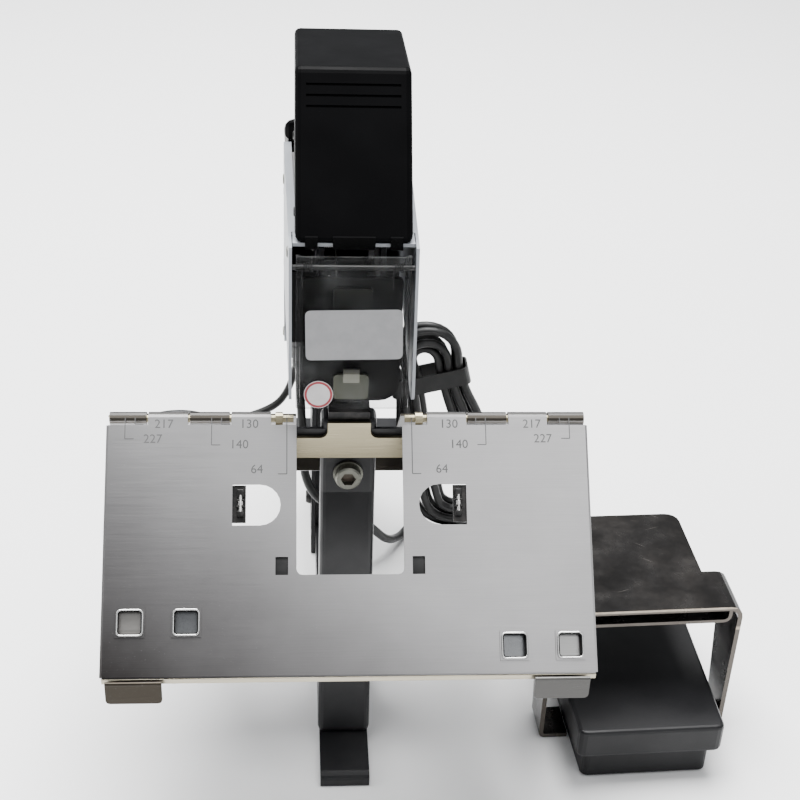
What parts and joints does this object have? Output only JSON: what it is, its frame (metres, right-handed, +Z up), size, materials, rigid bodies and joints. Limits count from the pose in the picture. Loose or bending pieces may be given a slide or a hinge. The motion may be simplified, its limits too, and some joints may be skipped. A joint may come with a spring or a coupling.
{
  "type": "electric saddle stapler",
  "caption": "Bench stapler on a C-shaped frame with a folding saddle table, a sprung stapling head under a tall cover, a clear finger guard and a corded foot pedal.",
  "frame": {"origin": "on the desk, under the middle of the table's ridge, on the underside of the base bar", "axes": "+X to the operator's right, +Y away from the operator along the base bar, +Z up"},
  "size_m": [0.3755, 0.4156, 0.3743],
  "materials": {
    "frame_paint": "satin black paint",
    "shell_paint": "satin light silver grey paint",
    "cover_plastic": "fine-grained black",
    "brushed_steel": "brushed with fine scratches",
    "nickel": "warm nickel plate",
    "bright_steel": "bright machined",
    "dark_steel": "blackened steel",
    "olive_steel": "olive passivated steel",
    "clear_plastic": "clear smoked acrylic",
    "copper": "enamelled copper winding",
    "black_rubber": "smooth black cord sheath",
    "pedal_plastic": "black moulded",
    "bridge_steel": "glossy black steel with pale cut edges",
    "switch_red": "gloss red"
  },
  "bodies": {
    "frame": {"base_frame": "frame_paint", "front_post": "frame_paint", "column_core": "frame_paint", "frame_plate_left": "frame_paint", "frame_plate_right": "frame_paint", "table_bracket": "nickel", "anvil": "dark_steel", "post_bolt": "bright_steel", "left_shell": "shell_paint", "right_shell": "shell_paint", "shell_lip": "shell_paint", "head_cover": "cover_plastic", "rear_cover": "cover_plastic", "rear_panel": "cover_plastic", "belly_plate": "cover_plastic", "mains_gland": "black_rubber", "pedal_gland": "black_rubber", "solenoid_frame": "brushed_steel", "coil_bobbin": "cover_plastic", "coil_winding": "copper", "lever_pivot_pin": "bright_steel", "head_pivot_pin": "bright_steel", "lever_spring": "bright_steel", "guard_hinge_pin": "bright_steel", "left_guard_spring": "bright_steel", "right_guard_spring": "bright_steel", "mains_lead": "black_rubber", "mains_coil": "black_rubber", "mains_tail": "black_rubber", "mains_plug": "black_rubber", "pedal_cord_upper": "black_rubber", "pedal_hank": "black_rubber", "pedal_cord": "black_rubber", "hank_tie": "black_rubber", "pedal_base": "pedal_plastic", "pedal_guard": "bridge_steel", "pedal_guard_inner": "bridge_steel", "pedal_spring": "bright_steel"},
    "lever": {"drive_lever": "dark_steel"},
    "solenoid_plunger": {"plunger": "bright_steel"},
    "stapling_head": {"head_plate": "dark_steel", "nose_plate": "nickel", "nose_latch": "bright_steel", "driver_guide": "olive_steel", "magazine_rail": "brushed_steel", "magazine_cover": "dark_steel", "staple_strip": "bright_steel"},
    "pusher": {"staple_pusher": "dark_steel"},
    "driver": {"driver_holder": "dark_steel", "driver_blade": "bright_steel"},
    "guard": {"finger_guard": "clear_plastic"},
    "table_front": {"front_leaf": "brushed_steel"},
    "table_rear": {"rear_leaf": "brushed_steel"},
    "catch_left": {"left_catch": "dark_steel"},
    "catch_right": {"right_catch": "dark_steel"},
    "stop_left": {"left_stop": "brushed_steel"},
    "stop_right": {"right_stop": "brushed_steel"},
    "treadle": {"pedal_treadle": "pedal_plastic"},
    "rocker": {"power_rocker": "switch_red"},
    "knob": {"force_knob": "cover_plastic"}
  },
  "joints": [
    {"name": "lever_stroke", "type": "hinge", "parent": "frame", "child": "lever", "pos_m": [0, 0.128, 0.274], "axis": [1, 0, 0], "range_deg": [0, 6], "stiffness_Nm_per_rad": 12, "springref_deg": -4.58},
    {"name": "plunger_stroke", "type": "slide", "parent": "frame", "child": "solenoid_plunger", "axis": [0, 0, -1], "range_m": [0, 0.0048]},
    {"name": "head_clamp", "type": "hinge", "parent": "frame", "child": "stapling_head", "pos_m": [0, 0.118, 0.246], "axis": [1, 0, 0], "range_deg": [0, 2.7]},
    {"name": "driver_stroke", "type": "slide", "parent": "stapling_head", "child": "driver", "axis": [0, 0, -1], "range_m": [0, 0.0086]},
    {"name": "pusher_slide", "type": "slide", "parent": "stapling_head", "child": "pusher", "axis": [0, 1, 0], "range_m": [0, 0.035], "stiffness_N_per_m": 40, "springref_m": -0.03},
    {"name": "guard_hinge", "type": "hinge", "parent": "frame", "child": "guard", "pos_m": [0, -0.0103, 0.295], "axis": [-1, 0, 0], "range_deg": [0, 70], "stiffness_Nm_per_rad": 0.02, "springref_deg": -34.38},
    {"name": "front_leaf_tilt", "type": "hinge", "parent": "frame", "child": "table_front", "pos_m": [0, 0, 0.20305], "axis": [1, 0, 0], "range_deg": [-45, 0]},
    {"name": "rear_leaf_tilt", "type": "hinge", "parent": "frame", "child": "table_rear", "pos_m": [0, 0, 0.20305], "axis": [1, 0, 0], "range_deg": [0, 45]},
    {"name": "left_catch_slide", "type": "slide", "parent": "table_front", "child": "catch_left", "axis": [1, 0, 0], "range_m": [0, 0.003], "stiffness_N_per_m": 200, "springref_m": -0.002},
    {"name": "right_catch_slide", "type": "slide", "parent": "table_front", "child": "catch_right", "axis": [-1, 0, 0], "range_m": [0, 0.003], "stiffness_N_per_m": 200, "springref_m": -0.002},
    {"name": "left_stop_slide", "type": "slide", "parent": "table_front", "child": "stop_left", "axis": [0, -0.7071, -0.7071], "range_m": [0, 0.045]},
    {"name": "right_stop_slide", "type": "slide", "parent": "table_front", "child": "stop_right", "axis": [0, -0.7071, -0.7071], "range_m": [0, 0.045]},
    {"name": "treadle_press", "type": "hinge", "parent": "frame", "child": "treadle", "pos_m": [0.16296, 0.05794, 0.0245], "axis": [0.999, 0.0454, 0], "range_deg": [0, 4], "stiffness_Nm_per_rad": 4, "springref_deg": -3.44, "deforming": ["pedal_spring"]},
    {"name": "power_rocker_tilt", "type": "hinge", "parent": "frame", "child": "rocker", "pos_m": [0.014, 0.245, 0.205], "axis": [1, 0, 0], "range_deg": [-20, 0]},
    {"name": "force_knob_turn", "type": "hinge", "parent": "frame", "child": "knob", "pos_m": [-0.014, 0.245, 0.215], "axis": [0, 1, 0], "range_deg": [-135, 135]}
  ],
  "couplings": [
    {"joint": "plunger_stroke", "follows": "lever_stroke", "m_per_rad": 0.0425},
    {"joint": "head_clamp", "follows": "lever_stroke", "ratio": 0.43},
    {"joint": "driver_stroke", "follows": "lever_stroke", "m_per_rad": 0.08},
    {"joint": "rear_leaf_tilt", "follows": "front_leaf_tilt", "ratio": -1}
  ]
}
